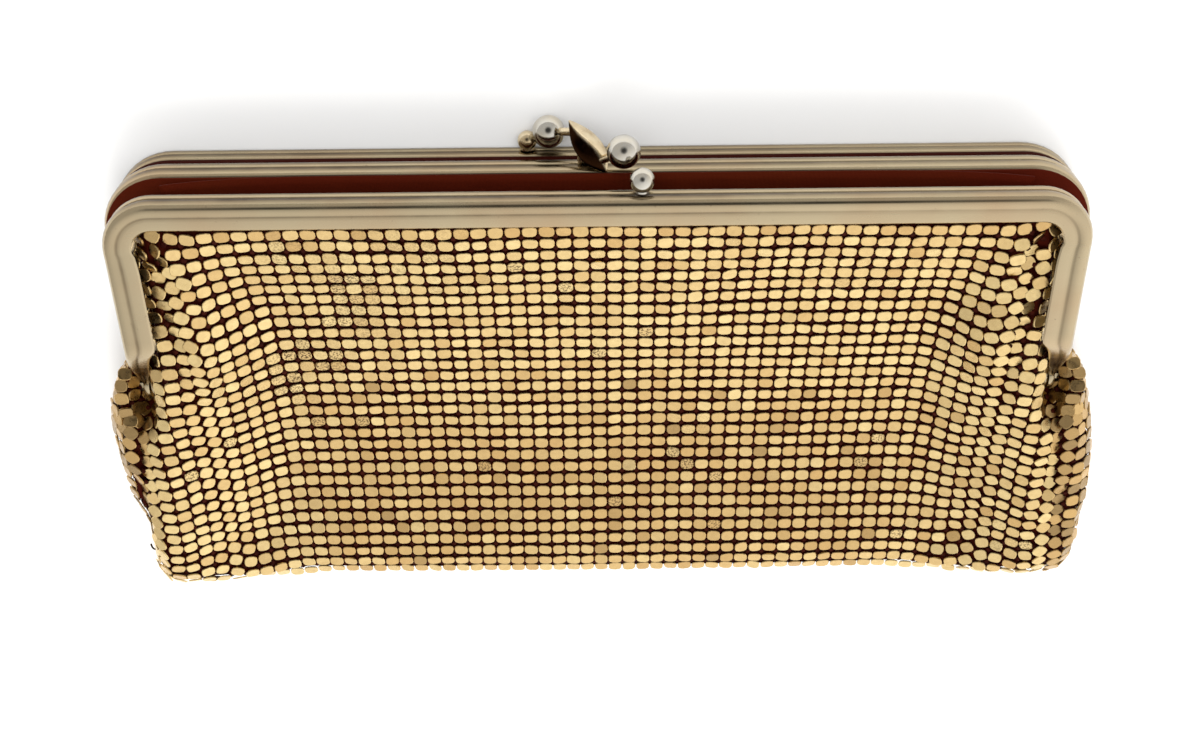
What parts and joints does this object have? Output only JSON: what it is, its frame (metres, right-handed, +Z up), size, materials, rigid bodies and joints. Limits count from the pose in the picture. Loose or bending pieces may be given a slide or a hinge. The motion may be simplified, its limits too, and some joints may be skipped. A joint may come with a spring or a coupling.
{
  "type": "metal mesh clutch bag lying on its back",
  "caption": "Long limp clutch of small gold metal tiles on a triple hinged frame with a double ball clasp and a dark red lining.",
  "frame": {"origin": "under the middle of the whole bag, on the surface that it lies on", "axes": "+X to the right seen from the front panel, +Y from the bottom fold towards the clasp, +Z up, out of the front panel"},
  "size_m": [0.2088, 0.111, 0.0246],
  "materials": {
    "frame_metal": "satin, pale gold plated",
    "mesh_metal": "satin gold enamel with worn and tarnished tiles",
    "lining_cloth": "dark red-brown woven lining",
    "clasp_metal": "polished, silver over gold"
  },
  "bodies": {
    "root": {"front_frame": "frame_metal", "middle_frame": "frame_metal", "back_frame": "frame_metal", "hinge_pin_left": "frame_metal", "hinge_pin_right": "frame_metal", "mesh_bag": "mesh_metal", "front_lining": "lining_cloth", "clasp_bridge": "clasp_metal", "clasp_ball_front": "clasp_metal", "clasp_ball_back": "clasp_metal"}
  },
  "joints": []
}
